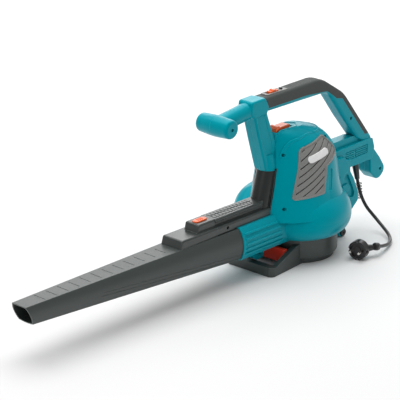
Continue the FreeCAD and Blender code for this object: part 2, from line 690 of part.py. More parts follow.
def slider_tray():
    """Open tray let into the motor body's crown for the speed slider."""
    x0, x1, y0, y1, z0, z1 = SLIDER_WELL
    tray = box(x0 - 1.5, x1 + 1.5, y0 - 1.5, y1 + 1.5, z0 - 2.5, z0 + 3.0).cut(box(*SLIDER_WELL))
    return tray.cut(box(-74.0, -46.0, -3.5, 3.5, z0 - 5.0, z0 + 5.0))


def speed_slider():
    side = [(-84, 268.3), (-84, 275, 2), (-80, 279.5, 2), (-75, 279.5, 2), (-72, 276.5, 2),
            (-46, 277.5, 2), (-43.5, 274, 1), (-43.5, 268.3)]
    plate = slab(side, "XZ", -8.6, 8.6)
    stem = box(-72.0, -58.0, -2.8, 2.8, 260.5, 269.0)
    return plate.fuse(stem)


def speed_control():
    """Small board with the slide potentiometer that the speed slider's stem drives."""
    board = box(-82.0, -34.0, -11.0, 11.0, 248.0, 249.6)
    return board.fuse(box(-78.0, -40.0, -6.0, 6.0, 249.6, 260.0))


def badge(outer_solid):
    """Plain raised plate on the side vent, following the motor body's curve."""
    tilt = math.radians(11.6)
    cx, cz, half_long, half_high = -21.0, 219.5, 27.0, 6.5
    corners = []
    for along_plate, across_plate in ((-1, -1), (1, -1), (1, 1), (-1, 1)):
        u = along_plate * half_long
        v = across_plate * half_high
        x = cx + u * math.cos(tilt) - v * math.sin(tilt)
        z = cz + u * math.sin(tilt) + v * math.cos(tilt)
        corners.append((x, z, half_high * 0.98))
    return dome_solid(-1.4).cut(outer_solid).common(slab(corners, "XZ", -95.0, -20.0))


# ---- fasteners ----------------------------------------------------------------------------------
# x, z, depth of the head below the middle plane, radius of the round boss it sits in
HANDLE_SCREWS = [(BAR_X, BAR_Z, 30.0, 6.5), (137.0, 248.0, 9.0, 6.0)]
BODY_SCREWS = [(-86.0, 228.0, 20.0, 6.0), (20.0, 244.0, 41.0, 6.0), (-98.0, 124.0, 34.0, 6.0)]
ARM_SCREWS = [(90.0, 136.0, 20.0, 6.5), (237.0, 116.5, 11.0, 6.0)]
HEAD_R = 3.6
SHANK_R = 1.9


def screw(x, z, head_y):
    head = rod(HEAD_R, Vector(x, -head_y, z), Vector(x, -head_y + 3.0, z))
    head = head.cut(rod(1.5, Vector(x, -head_y - 0.1, z), Vector(x, -head_y + 1.6, z)))
    tip_y = min(12.0, head_y)
    return head.fuse(rod(SHANK_R, Vector(x, -head_y + 2.9, z), Vector(x, tip_y, z)))


def screw_space(x, z, head_y):
    """Room for a screw: its own shape and the open well that the driver reaches through."""
    tip_y = min(12.0, head_y)
    well = rod(HEAD_R, Vector(x, -60.0, z), Vector(x, -head_y + 3.0, z))
    return well.fuse(rod(SHANK_R, Vector(x, -head_y, z), Vector(x, tip_y, z)))


def all_screws():
    places = HANDLE_SCREWS + BODY_SCREWS + ARM_SCREWS
    return Part.makeCompound([screw(x, z, head_y) for x, z, head_y, boss_r in places])


def with_screws(shape, places, hollow):
    """Add a boss for each screw inside the hollow, then open the screw's own space."""
    for x, z, head_y, boss_r in places:
        shape = shape.fuse(rod(boss_r, Vector(x, -90, z), Vector(x, 90, z)).common(hollow))
    for x, z, head_y, boss_r in places:
        shape = shape.cut(screw_space(x, z, head_y))
    return shape


# ---- motor and fan ------------------------------------------------------------------------------
def impeller():
    body = disc(82.0, 99.0, 101.5).fuse(disc(13.0, 72.0, 99.5))
    for index in range(9):
        blade = slab([(11, 75), (34, 62, 4), (80, 74, 4), (81.5, 99.5), (11, 99.5)], "XZ", -1.1, 1.1)
        blade.rotate(Vector(0, 0, 0), Vector(0, 0, 1), 40.0 * index)
        body = body.fuse(blade)
    return body.cut(disc(SHAFT_R, 50.0, 120.0))


def wound_field():
    stack = ring(41.0, 27.0, 138.0, 190.0)
    flats = box(-60, 60, 34.5, 60, 130, 200).fuse(box(-60, 60, -60, -34.5, 130, 200))
    return stack.cut(flats)


def field_coils():
    coil = ring(38.0, 28.0, 190.0, 198.0).fuse(ring(38.0, 28.0, 130.0, 138.0))
    flats = box(-60, 60, 34.0, 60, 120, 210).fuse(box(-60, 60, -60, -34.0, 120, 210))
    return coil.cut(flats)


def armature():
    body = ring(25.8, SHAFT_R, 140.0, 188.0).fuse(ring(20.0, SHAFT_R, 188.0, 196.0))
    for index in range(12):
        slot = box(21.0, 30.0, -1.3, 1.3, 139.0, 189.0)
        slot.rotate(Vector(0, 0, 0), Vector(0, 0, 1), 30.0 * index)
        body = body.cut(slot)
    return body


def motor_shaft():
    return disc(SHAFT_R, 63.0, 226.0)


def commutator():
    return ring(13.0, SHAFT_R, 199.0, 213.0)


def brush_holders():
    """Two open-ended tubes that guide the carbon brushes."""
    parts = []
    for side in (-1, 1):
        y0, y1 = sorted((side * 15.0, side * 42.0))
        tube = box(-5.5, 5.5, y0, y1, 200.5, 211.5).cut(box(-3.5, 3.5, -60, 60, 202.5, 209.5))
        parts.append(tube)
    return Part.makeCompound(parts)


def carbon_brushes():
    parts = []
    for side in (-1, 1):
        y0, y1 = sorted((side * 13.4, side * 30.0))
        parts.append(box(-3.5, 3.5, y0, y1, 202.5, 209.5))
    return Part.makeCompound(parts)


def bearing(z0, z1):
    return ring(BEARING_R, SHAFT_R + RUN_GAP, z0, z1)


def motor_plate():
    """Round plate that closes the fan casing, carries the motor and seats the lower bearing."""
    plate = ring(33.7, BEARING_R, 108.0, CASE_TOP).fuse(ring(54.0, BEARING_R, CASE_TOP, PLATE_TOP))
    for side in (-1, 1):
        x0, x1 = sorted((side * 43.0, side * 52.0))
        plate = plate.fuse(box(x0, x1, -13.0, 13.0, PLATE_TOP - 0.5, 130.0))
    return plate


def motor_bracket():
    """Cage over the motor: two posts and a bridge that seats the upper bearing."""
    posts = None
    for side in (-1, 1):
        x0, x1 = sorted((side * 43.0, side * 51.0))
        post = box(x0, x1, -12.0, 12.0, 130.0, 222.0)
        posts = post if posts is None else posts.fuse(post)
    bridge = box(-51.0, 51.0, -12.0, 12.0, 215.0, 222.0).fuse(disc(16.0, 215.0, 222.0))
    arms = box(-51.0, 51.0, -43.0, 43.0, 215.0, 218.0).common(disc(43.0, 215.0, 218.0))
    cage = posts.fuse(bridge).fuse(arms)
    for side in (-1, 1):
        y0, y1 = sorted((side * 31.0, side * 42.0))
        cage = cage.fuse(box(-5.5, 5.5, y0, y1, 211.5, 215.5))
    return cage.cut(disc(BEARING_R, 200.0, 230.0))


def impeller_nut():
    corners = []
    for index in range(6):
        turn = math.radians(60.0 * index)
        corners.append((7.5 * math.cos(turn), 7.5 * math.sin(turn)))
    return slab(corners, "XY", 65.5, 72.0).cut(disc(SHAFT_R, 60.0, 80.0))


CORD_ROUTE = [Vector(174, -7, 108), Vector(176, -15, 64), Vector(192, -50, 22), Vector(172, -101, 5),
              Vector(126, -128, 7), Vector(84, -134.5, 19.5)]


def cord_gland():
    """Tapered rubber sleeve where the cord leaves the underside of the carrier."""
    way = (CORD_ROUTE[1] - CORD_ROUTE[0]).normalize()
    return Part.makeCone(8.0, 5.0, 42.0, CORD_ROUTE[0] - way * 42.0, way)


# ---- cord ---------------------------------------------------------------------------------------
def cord_path():
    """Straight runs joined by tangent arcs."""
    marks = []
    for i in range(1, len(CORD_ROUTE) - 1):
        here = CORD_ROUTE[i]
        back = CORD_ROUTE[i - 1] - here
        ahead = CORD_ROUTE[i + 1] - here
        half_turn = (math.pi - back.getAngle(ahead)) / 2.0
        reach = 0.45 * min(back.Length, ahead.Length)
        radius = reach / math.tan(half_turn)
        back.normalize()
        ahead.normalize()
        centre = here + (back + ahead).normalize() * math.hypot(radius, reach)
        middle = centre + (here - centre).normalize() * radius
        marks.append((here + back * reach, middle, here + ahead * reach))
        print("cord bend", i, "radius", round(radius, 1), "mm")
    edges = []
    last = CORD_ROUTE[0]
    for start, middle, end in marks:
        edges.append(Part.LineSegment(last, start).toShape())
        edges.append(Part.Arc(start, middle, end).toShape())
        last = end
    edges.append(Part.LineSegment(last, CORD_ROUTE[-1]).toShape())
    return Part.Wire(edges)


def power_cord():
    path = cord_path()
    first = CORD_ROUTE[1] - CORD_ROUTE[0]
    section = Part.Wire(Part.Circle(CORD_ROUTE[0], first, CORD_D / 2).toShape())
    tube = path.makePipeShell([section], True, False)
    expected = path.Length * math.pi * CORD_D ** 2 / 4
    print("cord length", round(path.Length, 1), "volume ratio", round(tube.Volume / expected, 4))
    return tube


PLUG = Vector(45.0, -117.5, 19.5)
PLUG_FACE = Vector(-0.974, -0.227, 0.0)
PLUG_R = 19.3
PIN_PITCH = 19.0


def plug_parts():
    """Two-pin plug standing on its rim; the pins point along PLUG_FACE, the cord leaves sideways."""
    across = PLUG_FACE.cross(Vector(0, 0, 1)).normalize()
    body = rod(PLUG_R, PLUG - PLUG_FACE * 8.0, PLUG + PLUG_FACE * 8.0)
    body = body.cut(rod(15.5, PLUG + PLUG_FACE * 3.0, PLUG + PLUG_FACE * 9.0))
    body = body.fuse(rod(6.0, PLUG, PLUG + PLUG_FACE * 5.0))
    for side in (-1, 1):
        rim = PLUG + Vector(0, 0, side * PLUG_R)
        body = body.cut(rod(2.6, rim, rim + PLUG_FACE * 20.0))
        flat = PLUG + across * (side * (PLUG_R + 1.0)) - PLUG_FACE * 1.0
        body = body.cut(rod(3.4, flat, flat + PLUG_FACE * 20.0))
    exit_way = (CORD_ROUTE[-1] - PLUG).normalize()
    neck = Part.makeCone(8.5, 5.6, 22.0, PLUG + exit_way * 10.0, exit_way)
    cord_end = (CORD_ROUTE[-2] - CORD_ROUTE[-1]).normalize()
    bulb = rod(7.8, CORD_ROUTE[-1] - cord_end * 13.0, CORD_ROUTE[-1])
    bulb = soften(bulb, 3.0, lambda edge: edge.Length > 40.0)
    pins = []
    for side in (-1, 1):
        foot = PLUG + across * (PIN_PITCH / 2 * side) + PLUG_FACE * 2.0
        pins.append(rod(2.4, foot, foot + PLUG_FACE * 20.0))
    return body.fuse(neck).fuse(bulb), Part.makeCompound(pins)


# ---- assembly -----------------------------------------------------------------------------------
def build_casing(outer):
    left, right = halves(fan_casing(outer))
    save("fan_casing_left", left)
    save("fan_casing_right", right)


def build_body(outer, casing, handle):
    """Motor body: a thin dome with screw bosses, the slider tray and the hollow rear arm."""
    inner = dome_solid(WALL)
    shell = outer.cut(inner).fuse(crown_beads()).cut(side_slots()).cut(casing)
    shell = with_screws(shell, BODY_SCREWS, inner.cut(casing))
    hollow = arm_hollow().cut(outer).cut(casing)
    arm = rear_arm().cut(inner).cut(casing).cut(hollow)
    shell = shell.fuse(with_screws(arm, ARM_SCREWS, hollow))
    vents = panel_prism(0.25, -95.0, -5.0)
    shell = shell.cut(vents).cut(mirrored(vents))
    shell = shell.cut(box(*SLIDER_WELL)).fuse(slider_tray().common(outer))
    shell = shell.cut(handle).cut(cord_gland())
    for half, casing_half, side in zip(halves(shell), halves(casing), ("left", "right")):
        save("motor_body_" + side, half.cut(casing_half))


def build_handle(whole, grip, outer):
    hollow = handle_hollow()
    hard = whole.cut(grip).cut(outer).cut(hollow)
    hard = hard.cut(box(*SWITCH_POCKET)).cut(box(*BEZEL_POCKET))
    hard = with_screws(hard, HANDLE_SCREWS, hollow)
    left, right = halves(hard)
    save("handle_left", left)
    save("handle_right", right)


casing_outer = fan_casing_outer()
dome_outer = dome_solid(0.0)
dome_deep = dome_solid(WALL + 1.4)
neck_solid = neck_cover().cut(dome_outer).cut(casing_outer)
handle_whole = handle_solid().fuse(cross_handle(0.0))
grip_solid = slab(GRIP, "XZ", -GRIP_HALF, GRIP_HALF)
grip_solid = soften(grip_solid, 7.0, on_side(GRIP_HALF)).common(slab(GRIP_CUT, "XZ", -40.0, 40.0))
grip_solid = grip_solid.cut(shrunk(GRIP, GRIP_HALF, GRIP_SKIN)).cut(box(*BEZEL_POCKET))

build_casing(casing_outer)
build_body(dome_outer, casing_outer, handle_whole)
build_handle(handle_whole, grip_solid, dome_outer)
save("grip_cover", grip_solid.cut(grip_grooves()))
save("neck_cover", neck_solid.cut(handle_whole))
save("rail_rear", rear_rail().cut(neck_solid).cut(dome_outer))
save("blow_tube", blow_tube())
save("tube_rail", front_rail().cut(release_well(0.35)))
save("release_button", release_button())
save("button_spring", button_spring())
save("switch_bezel", switch_bezel())
save("power_switch", power_switch())
save("lock_button", lock_button())
save("switch_block", switch_block())
save("speed_slider", speed_slider())
save("speed_control", speed_control())

panel = vent_panel(dome_outer, dome_deep)
save("vent_panel_left", panel)
save("vent_panel_right", mirrored(panel))
plate = badge(dome_outer)
save("badge_plates", Part.makeCompound([plate, mirrored(plate)]))

save("intake_ring", intake_ring())
save("intake_grille", intake_grille())
save("foot_loop", foot_loop(ring_core()).cut(latch_pin()))
save("latch_lever", latch_lever())
save("latch_pin", latch_pin())
save("guard_pin", guard_pin())

save("motor_plate", motor_plate())
save("motor_bracket", motor_bracket())
save("motor_field", wound_field())
save("field_coils", field_coils())
save("armature", armature())
save("commutator", commutator())
save("motor_shaft", motor_shaft())
save("brush_holders", brush_holders())
save("carbon_brushes", carbon_brushes())
save("lower_bearing", bearing(108.0, 116.0))
save("upper_bearing", bearing(215.0, 222.0))
save("impeller", impeller())
save("impeller_nut", impeller_nut())
save("housing_screws", all_screws())

save("cord_gland", cord_gland())
save("power_cord", power_cord())
plug_body, plug_pins = plug_parts()
save("plug_body", plug_body)
save("plug_pins", plug_pins.cut(plug_body))
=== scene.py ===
# %% [markdown]
# # A corded leaf blower
# The CAD model gives every piece of the blower its true size and place. This notebook dresses those
# pieces: it gives each one the finish of the real material, and models the small visible things that
# a CAD solid leaves out, such as the ribs on the release button and the lay of the mains cord.

import math

import bmesh
import bpy
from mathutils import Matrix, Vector


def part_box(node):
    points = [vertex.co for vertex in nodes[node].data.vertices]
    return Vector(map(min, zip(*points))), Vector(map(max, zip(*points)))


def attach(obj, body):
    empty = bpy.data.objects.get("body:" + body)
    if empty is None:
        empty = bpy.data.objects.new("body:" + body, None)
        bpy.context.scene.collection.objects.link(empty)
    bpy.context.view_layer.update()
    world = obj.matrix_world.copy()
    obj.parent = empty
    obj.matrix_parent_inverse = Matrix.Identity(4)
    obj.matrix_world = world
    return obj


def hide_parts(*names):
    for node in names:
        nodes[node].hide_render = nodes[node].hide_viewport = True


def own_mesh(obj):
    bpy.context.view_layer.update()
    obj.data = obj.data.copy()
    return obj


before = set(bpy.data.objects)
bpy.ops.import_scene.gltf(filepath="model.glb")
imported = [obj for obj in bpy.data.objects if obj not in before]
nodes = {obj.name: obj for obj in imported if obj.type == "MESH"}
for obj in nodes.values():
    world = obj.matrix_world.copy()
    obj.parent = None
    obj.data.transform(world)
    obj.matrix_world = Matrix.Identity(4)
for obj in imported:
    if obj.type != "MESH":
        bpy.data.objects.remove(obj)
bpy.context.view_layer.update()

# %% [markdown]
# ## Camera
# A long lens, far away, keeps the long nozzle from looking stretched, which is how a catalogue shows
# tools. The camera looks down by 20 degrees from the front left corner of the tool. Its direction is
# worked out from those two angles, so that either can be changed alone.

# %% Camera
VIEW_SIDE = math.radians(-47.0)
VIEW_DOWN = math.radians(20.0)
CAMERA_PLACE = (-2.8583, -2.3961, 1.4620)
LENS_MM = 180.0
FILM_MM = 36.0

towards_camera = Vector((math.sin(VIEW_SIDE) * math.cos(VIEW_DOWN),
                         -math.cos(VIEW_SIDE) * math.cos(VIEW_DOWN),
                         math.sin(VIEW_DOWN)))
lens = bpy.data.cameras.new("catalogue_lens")
lens.lens = LENS_MM
lens.sensor_width = FILM_MM
lens.clip_end = 50.0
camera = bpy.data.objects.new("catalogue_camera", lens)
camera.location = CAMERA_PLACE
camera.rotation_mode = "QUATERNION"
camera.rotation_quaternion = (-towards_camera).to_track_quat("-Z", "Y")
bpy.context.collection.objects.link(camera)
bpy.context.scene.camera = camera
print("camera at", tuple(round(v, 3) for v in camera.location))

# %% [markdown]
# ## Studio floor
# Garden tools are shown on a plain pale floor. A plane would do, but a wide disc has
# no corner that could show. It lies half a millimetre low, so that it never cuts into the stand.

# %% Studio floor
FLOOR_SHADE = 0.76
FLOOR_RADIUS = 14.0
FLOOR_DROP = 0.0005
FLOOR_ROUGHNESS = 0.8
FLOOR_SHINE = 0.1
FLOOR_CORNERS = 96


def paint(name, colour, roughness):
    """A plain paint: a Principled shader with one colour, for the floor."""
    material = bpy.data.materials.new(name)
    material.use_nodes = True
    shader = material.node_tree.nodes["Principled BSDF"]
    shader.inputs["Base Color"].default_value = (*colour, 1.0)
    shader.inputs["Roughness"].default_value = roughness
    shader.inputs["Specular IOR Level"].default_value = FLOOR_SHINE
    return material


def studio_floor(radius):
    """A filled disc that belongs to the studio and not to the tool."""
    mesh = bpy.data.meshes.new("studio_floor")
    form = bmesh.new()
    bmesh.ops.create_circle(form, cap_ends=True, segments=FLOOR_CORNERS, radius=radius)
    form.to_mesh(mesh)
    form.free()
    floor = bpy.data.objects.new("studio_floor", mesh)
    floor.location = (0.0, 0.0, -FLOOR_DROP)
    bpy.context.collection.objects.link(floor)
    mesh.materials.append(paint("floor_paint", (FLOOR_SHADE,) * 3, FLOOR_ROUGHNESS))
    return floor


floor = studio_floor(FLOOR_RADIUS)
print("floor:", floor.name, "shade", FLOOR_SHADE)

# %% [markdown]
# ## Lights and air
# Large soft lights give the even look of a catalogue. The big box overhead lights the upper faces, and
# the sides mostly get what the floor sends back, so the form reads well. A second box stands behind
# the tool: dark mouldings mirror it at a shallow angle, which turns the top of a black nozzle light
# grey. A third, weak one fills the nozzle. The lights themselves stay out of every picture.

# %% Lights and air
AIR_STRENGTH = 0.45


def soft_light(name, place, aim, size, watts):
    """A rectangular light box that points at a spot and isn't seen itself."""
    lamp = bpy.data.lights.new(name, "AREA")
    lamp.shape = "RECTANGLE"
    lamp.size, lamp.size_y = size
    lamp.energy = watts
    holder = bpy.data.objects.new(name, lamp)
    holder.location = place
    holder.rotation_mode = "QUATERNION"
    holder.rotation_quaternion = (Vector(aim) - Vector(place)).to_track_quat("-Z", "Y")
    holder.visible_camera = False
    bpy.context.collection.objects.link(holder)
    return holder


lights = [
    soft_light("overhead_box", place=(0.1, 0.5, 3.0), aim=(0.0, 0.2, 0.0), size=(3.6, 3.2), watts=105.0),
    soft_light("back_box", place=(2.0, 1.85, 1.5), aim=(0.0, 0.0, 0.2), size=(3.0, 1.8), watts=34.0),
    soft_light("nozzle_box", place=(-2.6, -0.2, 1.4), aim=(-0.2, 0.0, 0.15), size=(1.2, 1.2), watts=9.0),
]
world = bpy.data.worlds.new("studio_air")
world.use_nodes = True
world.node_tree.nodes["Background"].inputs["Color"].default_value = (1.0, 1.0, 1.0, 1.0)
world.node_tree.nodes["Background"].inputs["Strength"].default_value = AIR_STRENGTH
bpy.context.scene.world = world
bpy.context.scene.view_settings.view_transform = "Standard"
print("lights:", [light.name for light in lights], "air", AIR_STRENGTH)

# %% [markdown]
# ## Painted edge highlights
# Nearly everything on this tool is injection moulded, and every edge of a moulding has a tiny radius.
# The radius could be cut into the mesh, but a Bevel node rounds the edges for the light only and leaves
# the CAD mesh untouched. Where its rounded normal differs from the true one there is an edge, so the
# same node also finds where to paint a highlight: a lighter colour on every edge.

# %% Edge finder
EDGE_SAMPLES = 6
FLAT_MATCH = 0.995
EDGE_MATCH = 0.86
# How far the painted edge highlight goes towards the edge colour.
MOST_EDGE_HIGHLIGHT = 0.6


def join(tree, source, target):
    """Links one socket to another."""
    tree.links.new(source, target)


def add_node(tree, kind, **settings):
    """A new shader node, with its input sockets set by name (spaces written as underscores)."""
    node = tree.nodes.new(kind)
    for socket, value in settings.items():
        node.inputs[socket.replace("_", " ")].default_value = value
    return node


def edge_finder(tree, radius):
    """The rounded normal, and a factor for the painted edge highlight: highest on edges, 0 on flat faces."""
    rounded = add_node(tree, "ShaderNodeBevel", Radius=radius)
    rounded.samples = EDGE_SAMPLES
    truth = tree.nodes.new("ShaderNodeNewGeometry")
    compare = tree.nodes.new("ShaderNodeVectorMath")
    compare.operation = "DOT_PRODUCT"
    join(tree, rounded.outputs["Normal"], compare.inputs[0])
    join(tree, truth.outputs["Normal"], compare.inputs[1])
    edge_highlight_mask = add_node(tree, "ShaderNodeMapRange", From_Min=FLAT_MATCH, From_Max=EDGE_MATCH, To_Max=MOST_EDGE_HIGHLIGHT)
    join(tree, compare.outputs["Value"], edge_highlight_mask.inputs["Value"])
    return rounded.outputs["Normal"], edge_highlight_mask.outputs["Result"]


# The painted edge highlight starts where the normals differ by this angle.
print("wear starts where the normals differ by", round(math.degrees(math.acos(FLAT_MATCH)), 1), "degrees")

# %% [markdown]
# ## Pigment clouds
# Moulded plastic is never one flat colour, because the pigment clouds a little as it flows. A slow
# noise texture blends a slightly darker and a slightly lighter shade of the colour. Squeezing the
# noise along one direction turns its clouds into streaks, which suits rolled and wound metal.

# %% Pigment clouds
CLOUD_SCALE = 14.0
CLOUD_DETAIL = 5.0
CLOUD_SHARE = 0.08


def blend_colours(tree, factor, first, second):
    """Mixes two colours by a factor; each colour is a value or another node's output."""
    mix = tree.nodes.new("ShaderNodeMix")
    mix.data_type = "RGBA"
    join(tree, factor, mix.inputs["Factor"])
    for socket, colour in (("A", first), ("B", second)):
        if isinstance(colour, tuple):
            mix.inputs[socket].default_value = (*colour, 1.0)
        else:
            join(tree, colour, mix.inputs[socket])
    return mix.outputs["Result"]


def pigment(tree, place, colour, streaks):
    """The cloud pattern, and the colour that it makes darker and lighter."""
    stretch = add_node(tree, "ShaderNodeMapping", Scale=streaks)
    join(tree, place, stretch.inputs["Vector"])
    clouds = add_node(tree, "ShaderNodeTexNoise", Scale=CLOUD_SCALE, Detail=CLOUD_DETAIL)
    join(tree, stretch.outputs["Vector"], clouds.inputs["Vector"])
    darker = tuple(c * (1.0 - CLOUD_SHARE) for c in colour)
    lighter = tuple(min(1.0, c * (1.0 + CLOUD_SHARE)) for c in colour)
    return clouds.outputs["Fac"], blend_colours(tree, clouds.outputs["Fac"], darker, lighter)


print("pigment varies by", CLOUD_SHARE, "each way")

# %% [markdown]
# ## Gloss and grain
# A mould leaves its texture on the part: the gloss wanders a little, and a fine grain scatters the
# light. The gloss follows the pigment clouds, because both come from how the melt flowed. The grain
# is a bump on top of the rounded edges, since it is far too fine to be modelled.

# %% Gloss and grain
GLOSS_SPREAD = 0.07
SMOOTHEST = 0.05
GRAIN_DETAIL = 3.0
GRAIN_RELIEF = 0.0003


def uneven_gloss(tree, clouds, roughness):
    """A roughness that wanders with the clouds."""
    satin = add_node(tree, "ShaderNodeMapRange", To_Min=max(SMOOTHEST, roughness - GLOSS_SPREAD),
                     To_Max=roughness + GLOSS_SPREAD)
    join(tree, clouds, satin.inputs["Value"])
    return satin.outputs["Result"]


def mould_grain(tree, place, rounded, strength, scale):
    """The rounded normal with the fine texture of the mould on it."""
    fine = add_node(tree, "ShaderNodeTexNoise", Scale=scale, Detail=GRAIN_DETAIL)
    join(tree, place, fine.inputs["Vector"])
    bump = add_node(tree, "ShaderNodeBump", Strength=strength, Distance=GRAIN_RELIEF)
    join(tree, fine.outputs["Fac"], bump.inputs["Height"])
    join(tree, rounded, bump.inputs["Normal"])
    return bump.outputs["Normal"]


print("grain is", GRAIN_RELIEF * 1000.0, "mm deep")

# %% [markdown]
# ## One maker for every finish
# Plastic, rubber and metal differ here in numbers and not in kind, so one maker builds them all from
# the pieces above. The values that are the same all over a part go straight onto the shader's sockets.

# %% Maker of finishes
COAT_ROUGHNESS = 0.2
# EDGE_GAIN and EDGE_LIFT make the colour of the painted edge highlight where none is given.
EDGE_GAIN = 1.7
EDGE_LIFT = 0.02


def moulded(name, colour, roughness, edge_highlight_colour=None, grain=0.15, grain_scale=900.0, edge_radius=0.0012,
            coat=0.0, metallic=0.0, shine=0.5, shine_tint=(1.0, 1.0, 1.0), streaks=(1.0, 1.0, 1.0)):
    """One finish: clouded colour, a painted highlight on the edges, uneven gloss and the grain of the mould.
    """
    material = bpy.data.materials.new(name)
    material.use_nodes = True
    tree = material.node_tree
    shader = tree.nodes["Principled BSDF"]
    shader.inputs["Metallic"].default_value = metallic
    shader.inputs["Specular IOR Level"].default_value = shine
    shader.inputs["Specular Tint"].default_value = (*shine_tint, 1.0)
    shader.inputs["Coat Weight"].default_value = coat
    shader.inputs["Coat Roughness"].default_value = COAT_ROUGHNESS
    place = tree.nodes.new("ShaderNodeTexCoord").outputs["Object"]
    clouds, body = pigment(tree, place, colour, streaks)
    rounded, edge_highlight_mask = edge_finder(tree, edge_radius)
    # A lighter colour on the edges: a painted highlight.
    tint = edge_highlight_colour or tuple(min(1.0, c * EDGE_GAIN + EDGE_LIFT) for c in colour)
    join(tree, blend_colours(tree, edge_highlight_mask, body, tint), shader.inputs["Base Color"])
    join(tree, uneven_gloss(tree, clouds, roughness), shader.inputs["Roughness"])
    join(tree, mould_grain(tree, place, rounded, grain, grain_scale), shader.inputs["Normal"])
    return material


def dress(material, *names):
    """Gives CAD pieces a finish through their own material slots."""
    for name in names:
        piece = nodes[name]
        if not piece.material_slots:
            piece.data.materials.append(material)
        for slot in piece.material_slots:
            slot.material = material
    print(material.name, "on", len(names), "pieces")


print("the maker is ready for", len(nodes), "pieces")

# %% [markdown]
# ## The coloured shell
# The casing, motor cover and handle are one colour of tough, fairly glossy plastic. A tint on the
# mirrored light keeps the colour deep, as pigment close under a polished skin does. The tool marks
# are nearly gone on it, so its grain is weak.

# %% Shell finish
# Its edges get a light teal painted highlight.
teal = moulded("teal_moulding", (0.0, 0.280, 0.345), 0.30, edge_highlight_colour=(0.01, 0.58, 0.66), grain=0.08,
               shine=0.42, shine_tint=(0.0, 0.75, 0.9))
dress(teal, "fan_casing_left", "fan_casing_right", "motor_body_left", "motor_body_right", "handle_left",
      "handle_right")

# %% [markdown]
# ## Dark mouldings
# The nozzle and the stand are satin charcoal with a fine leather-like grain that hides scratches. The
# neck is black from a polished mould, so it mirrors the light sharply, and the rail is a little greyer.

# %% Dark finishes
# The edge colours given below are painted highlights.
charcoal = moulded("charcoal_moulding", (0.030, 0.040, 0.037), 0.40, edge_highlight_colour=(0.12, 0.145, 0.135),
                   grain=0.35, grain_scale=1400.0, streaks=(0.25, 1.0, 1.0), shine=0.62)
dress(charcoal, "blow_tube", "intake_ring", "foot_loop")
polished_black = moulded("polished_black", (0.012, 0.016, 0.015), 0.24, edge_highlight_colour=(0.09, 0.11, 0.105),
                         grain=0.04, coat=0.05, shine=0.38)
dress(polished_black, "neck_cover", "lock_button")
rail_grey = moulded("rail_grey", (0.022, 0.029, 0.027), 0.3, edge_highlight_colour=(0.15, 0.175, 0.165), grain=0.25,
                    grain_scale=1100.0, shine=0.7)
dress(rail_grey, "tube_rail", "rail_rear")

# %% [markdown]
# ## Vents and grip
# The louvred panels are a warmer, lighter grey with a matt texture. The grip has a rubber skin that
# is moulded over the plastic: it is dull, and coarse enough to hold in a wet glove.

# %% Vent and grip finishes
# The edge colours given here are painted highlights.
vent_grey = moulded("vent_grey", (0.205, 0.210, 0.200), 0.45, edge_highlight_colour=(0.52, 0.50, 0.49), grain=0.3,
                    edge_radius=0.0008)
dress(vent_grey, "vent_panel_left", "vent_panel_right", "switch_bezel")
soft_rubber = moulded("soft_grip_rubber", (0.064, 0.072, 0.069), 0.62, edge_highlight_colour=(0.17, 0.185, 0.18),
                      grain=0.6, grain_scale=520.0, shine=0.22)
dress(soft_rubber, "grip_cover")

# %% [markdown]
# ## Signal colours
# What the user presses or slides is orange, and the safety catch of the intake is red. Both are bright
# glossy plastics whose edges carry a paler, warmer painted highlight. The plates on the vents are plain
# white.

# %% Signal finishes
signal_orange = moulded("signal_orange", (0.80, 0.105, 0.010), 0.33, edge_highlight_colour=(1.0, 0.33, 0.08),
                        grain=0.06, coat=0.2, edge_radius=0.0008)
dress(signal_orange, "release_button", "power_switch", "speed_slider")
latch_red = moulded("latch_red", (0.88, 0.050, 0.022), 0.34, edge_highlight_colour=(1.0, 0.20, 0.10), grain=0.06,
                    coat=0.2)
dress(latch_red, "latch_lever")
plate_white = moulded("plate_white", (0.80, 0.80, 0.80), 0.35, grain=0.03)
dress(plate_white, "badge_plates")

# %% [markdown]
# ## Black plastics and the cord's rubber
# The parts inside are black and left as they come from the mould. The sheath of the cord is smoother
# and shinier, because it is drawn through a die.

# %% Black plastics and rubber
inner_black = moulded("inner_black", (0.014, 0.014, 0.015), 0.45)
dress(inner_black, "intake_grille", "guard_pin", "motor_plate", "motor_bracket", "brush_holders",
      "switch_block", "impeller", "carbon_brushes")
# Its edge colour is a painted highlight.
cord_black = moulded("cord_black", (0.010, 0.010, 0.011), 0.32, edge_highlight_colour=(0.06, 0.06, 0.06), shine=0.6)
dress(cord_black, "cord_gland", "power_cord", "plug_body")

# %% [markdown]
# ## Metals and the board
# Shafts and bearings are plated steel, the motor is stacked iron sheets and enamelled copper wire, and
# the plug's pins are nickel. Squeezing the cloud texture along one direction turns it into the fine
# lines that turning, stacking and winding leave on metal.

# %% Metal and board finishes
steel = moulded("plated_steel", (0.55, 0.55, 0.56), 0.3, metallic=1.0, streaks=(1.0, 1.0, 40.0))
dress(steel, "latch_pin", "motor_shaft", "lower_bearing", "upper_bearing", "impeller_nut", "button_spring")
screw_steel = moulded("blackened_steel", (0.10, 0.10, 0.11), 0.35, metallic=0.9)
dress(screw_steel, "housing_screws")
pin_metal = moulded("pin_nickel", (0.62, 0.60, 0.56), 0.25, metallic=1.0)
dress(pin_metal, "plug_pins")
lamination = moulded("lamination_steel", (0.22, 0.22, 0.23), 0.45, metallic=0.9, streaks=(1.0, 1.0, 90.0))
dress(lamination, "motor_field", "armature")
copper = moulded("winding_copper", (0.62, 0.24, 0.10), 0.35, metallic=1.0, streaks=(1.0, 1.0, 60.0))
dress(copper, "field_coils", "commutator")
board_green = moulded("board_green", (0.02, 0.16, 0.05), 0.4)
dress(board_green, "speed_control")

